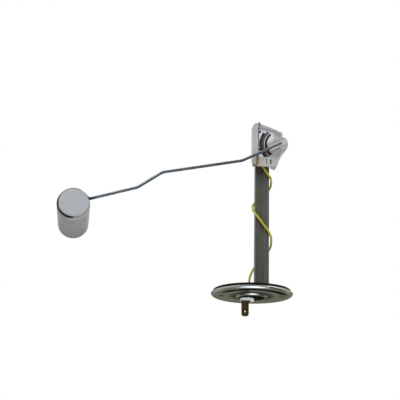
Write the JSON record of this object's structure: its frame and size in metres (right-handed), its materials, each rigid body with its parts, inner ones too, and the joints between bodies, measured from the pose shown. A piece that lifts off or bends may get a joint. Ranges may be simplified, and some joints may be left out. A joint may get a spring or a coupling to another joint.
{
  "type": "fuel level sender",
  "caption": "Swing-arm fuel level sender: round flange with gasket, channel stem, resistor card in a housing, and a wire arm with a float.",
  "frame": {"origin": "centre of the flange on the tank side of its panel", "axes": "+Z into the tank along the stem, -Y is the side that the resistor card faces, -X is the side where the float is"},
  "size_m": [0.204, 0.07, 0.1731],
  "materials": {
    "plated_steel": "zinc plated, dull",
    "black_rubber": "matt",
    "insulator_white": "satin",
    "terminal_brass": "satin",
    "tinned_brass": "satin",
    "white_nylon": "satin",
    "white_ceramic": "smooth",
    "black_ink": "matt print",
    "yellow_lead": "soft insulation",
    "solder": "bright",
    "rotor_plastic": "satin",
    "wiper_copper": "rolled",
    "wiper_contact": "bright",
    "arm_steel": "drawn wire",
    "float_plastic": "satin",
    "float_cap_plastic": "satin"
  },
  "bodies": {
    "sender_body": {"flange_plate": "plated_steel", "gasket": "black_rubber", "outer_insulator": "insulator_white", "inner_insulator": "insulator_white", "terminal_blade": "terminal_brass", "terminal_rivet": "terminal_brass", "inner_lug": "tinned_brass", "foot_bracket": "plated_steel", "stem": "plated_steel", "card_housing": "white_nylon", "resistor_card": "white_ceramic", "outer_track": "black_ink", "inner_track": "black_ink", "card_pads": "black_ink", "card_pin": "tinned_brass", "signal_lead": "yellow_lead", "lead_conductors": "tinned_brass", "solder_joints": "solder"},
    "float_arm_body": {"rotor": "rotor_plastic", "wiper_spring": "wiper_copper", "wiper_contacts": "wiper_contact", "float_arm": "arm_steel", "pin_washer": "arm_steel", "float_body": "float_plastic", "float_cap": "float_cap_plastic"}
  },
  "joints": [
    {"name": "arm_pivot", "type": "hinge", "parent": "sender_body", "child": "float_arm_body", "pos_m": [0.0232, -0.008, 0.1325], "axis": [0, 1, 0], "range_deg": [-15, 70]}
  ]
}
